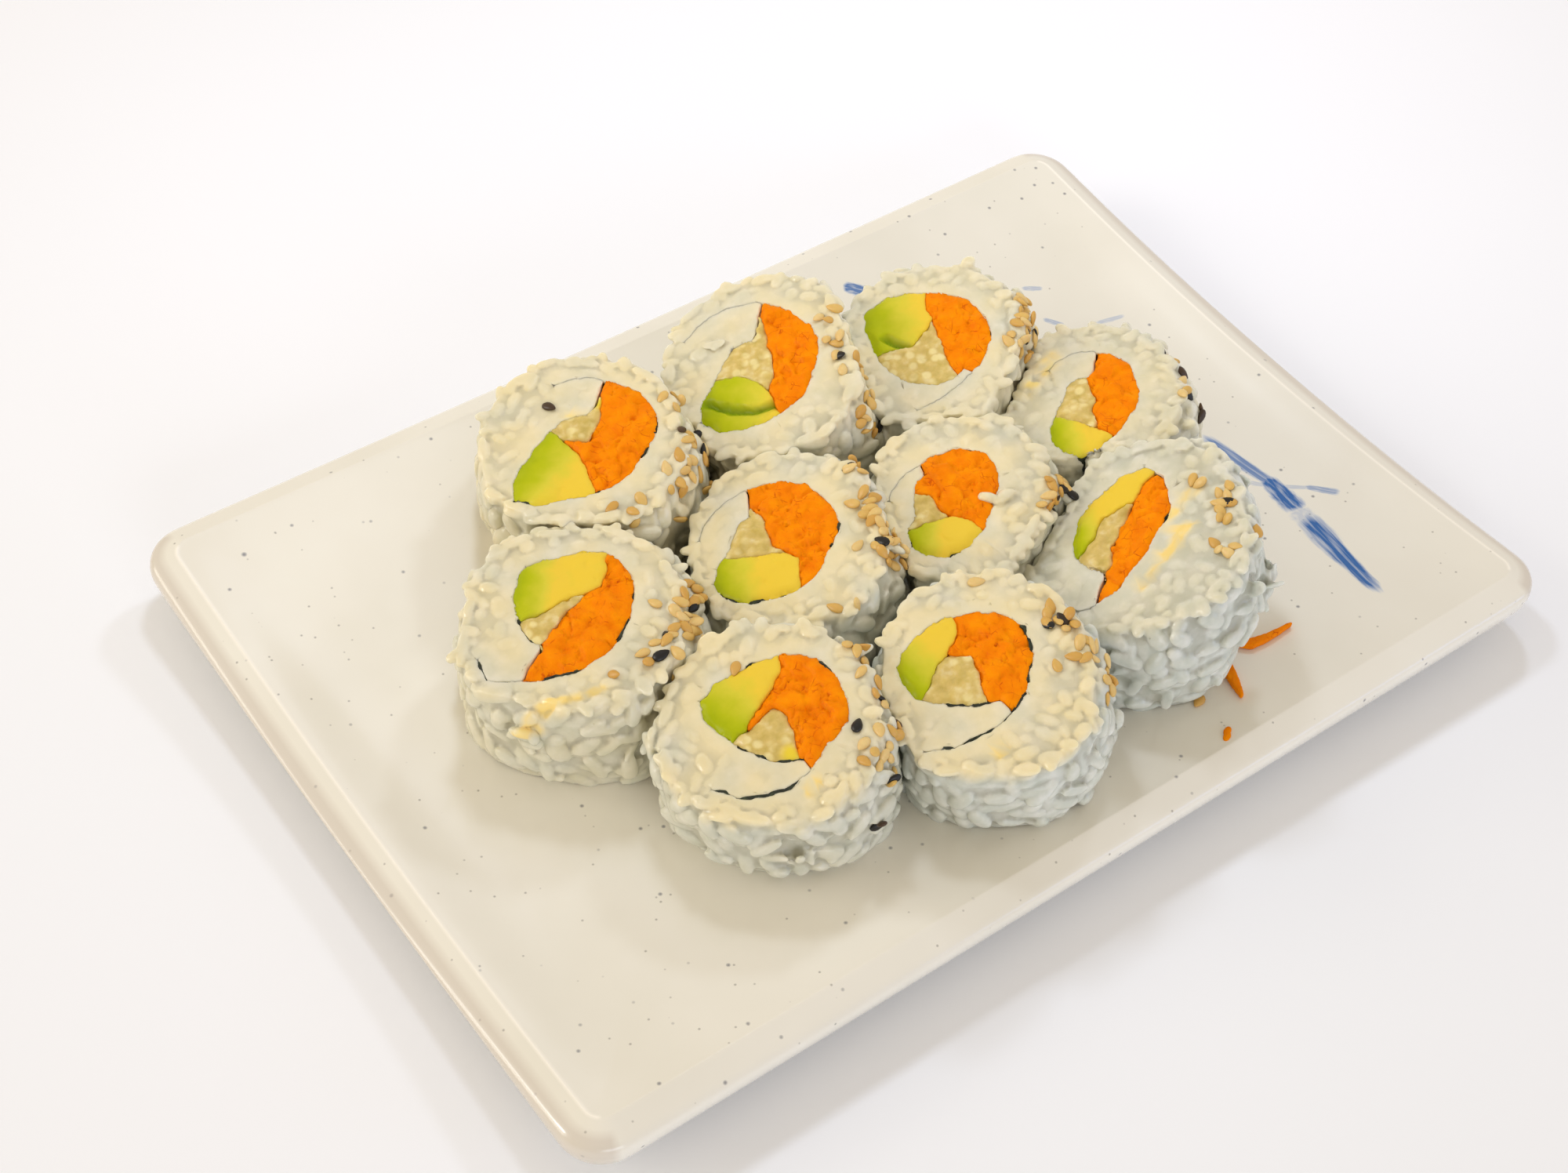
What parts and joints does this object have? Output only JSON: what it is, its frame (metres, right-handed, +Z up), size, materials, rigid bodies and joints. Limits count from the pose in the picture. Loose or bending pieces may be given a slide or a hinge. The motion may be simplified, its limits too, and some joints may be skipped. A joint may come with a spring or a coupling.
{
  "type": "vegetable roll on a plate",
  "caption": "Cut inside-out vegetable rolls of rice, nori, avocado, carrot and cucumber with sesame, lying on a rectangular glazed plate.",
  "frame": {"origin": "middle of the plate, in the plane of its foot", "axes": "+Z up, +X along the plate's long side, +Y along its short side"},
  "size_m": [0.23, 0.16, 0.0454],
  "materials": {
    "stoneware": "glossy cream glaze with small grey speckles and blue bamboo brushwork",
    "rice": "moist cooked short-grain rice with sesame seeds",
    "nori": "thin dark green pressed seaweed, softened by the rice",
    "avocado": "smooth moist flesh, green at the skin side and yellow inside",
    "carrot": "packed shreds of carrot, cut across",
    "cucumber": "pale wet flesh, partly see-through"
  },
  "bodies": {
    "root": {"plate": "stoneware", "back_left_rice": "rice", "back_left_nori": "nori", "back_left_avocado": "avocado", "back_left_carrot": "carrot", "back_left_cucumber": "cucumber", "back_rice": "rice", "back_nori": "nori", "back_avocado": "avocado", "back_carrot": "carrot", "back_cucumber": "cucumber", "back_right_rice": "rice", "back_right_nori": "nori", "back_right_avocado": "avocado", "back_right_carrot": "carrot", "back_right_cucumber": "cucumber", "right_back_rice": "rice", "right_back_nori": "nori", "right_back_avocado": "avocado", "right_back_carrot": "carrot", "right_back_cucumber": "cucumber", "middle_left_rice": "rice", "middle_left_nori": "nori", "middle_left_avocado": "avocado", "middle_left_carrot": "carrot", "middle_left_cucumber": "cucumber", "middle_rice": "rice", "middle_nori": "nori", "middle_avocado": "avocado", "middle_carrot": "carrot", "middle_cucumber": "cucumber", "right_rice": "rice", "right_nori": "nori", "right_avocado": "avocado", "right_carrot": "carrot", "right_cucumber": "cucumber", "front_left_rice": "rice", "front_left_nori": "nori", "front_left_avocado": "avocado", "front_left_carrot": "carrot", "front_left_cucumber": "cucumber", "front_rice": "rice", "front_nori": "nori", "front_avocado": "avocado", "front_carrot": "carrot", "front_cucumber": "cucumber", "front_right_rice": "rice", "front_right_nori": "nori", "front_right_avocado": "avocado", "front_right_carrot": "carrot", "front_right_cucumber": "cucumber", "carrot_shred_bent": "carrot", "carrot_shred_short": "carrot"}
  },
  "joints": []
}
